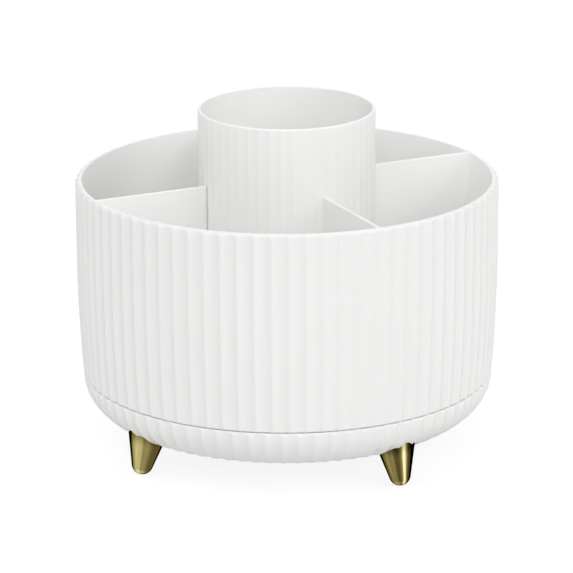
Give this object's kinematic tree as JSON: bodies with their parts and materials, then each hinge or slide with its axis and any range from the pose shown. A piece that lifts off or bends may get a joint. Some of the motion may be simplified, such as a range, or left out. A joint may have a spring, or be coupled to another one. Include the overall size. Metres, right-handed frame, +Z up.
{
  "type": "rotating makeup brush organizer",
  "caption": "Fluted white drum with open compartments round a taller centre cup, turning on a shallow fluted bowl that stands on splayed gold feet.",
  "frame": {"origin": "on the turning axis, on the surface that the feet stand on", "axes": "+Z up along the turning axis; the four partitions lie along X and Y at rest"},
  "size_m": [0.16, 0.16, 0.1308],
  "materials": {
    "white_shell": "satin gloss",
    "gold_plate": "mirror polished plate",
    "pressed_steel": "pressed",
    "polished_steel": "ground",
    "zinc_steel": "zinc plated",
    "moulded_nylon": "as moulded"
  },
  "bodies": {
    "base": {"base_bowl": "white_shell", "foot_1": "gold_plate", "foot_2": "gold_plate", "foot_3": "gold_plate", "foot_4": "gold_plate", "foot_screws": "zinc_steel", "lower_race": "pressed_steel", "lower_race_screws": "zinc_steel", "spindle_pin": "polished_steel", "spindle_washer": "zinc_steel", "spindle_screw": "zinc_steel"},
    "drum": {"drum": "white_shell", "upper_race": "pressed_steel", "upper_race_screws": "zinc_steel", "hub_bush": "moulded_nylon"},
    "ball_ring": {"ball_cage": "moulded_nylon", "bearing_balls": "polished_steel"},
    "cup": {"brush_cup": "white_shell"}
  },
  "joints": [
    {"name": "drum_turn", "type": "hinge", "parent": "base", "child": "drum", "pos_m": [0, 0, 0.03], "axis": [0, 0, 1], "continuous": true},
    {"name": "ball_ring_turn", "type": "hinge", "parent": "base", "child": "ball_ring", "pos_m": [0, 0, 0.0227], "axis": [0, 0, 1], "continuous": true},
    {"name": "cup_lift", "type": "slide", "parent": "drum", "child": "cup", "axis": [0, 0, 1], "range_m": [0, 0.1]}
  ],
  "couplings": [
    {"joint": "ball_ring_turn", "follows": "drum_turn", "ratio": 0.5}
  ]
}
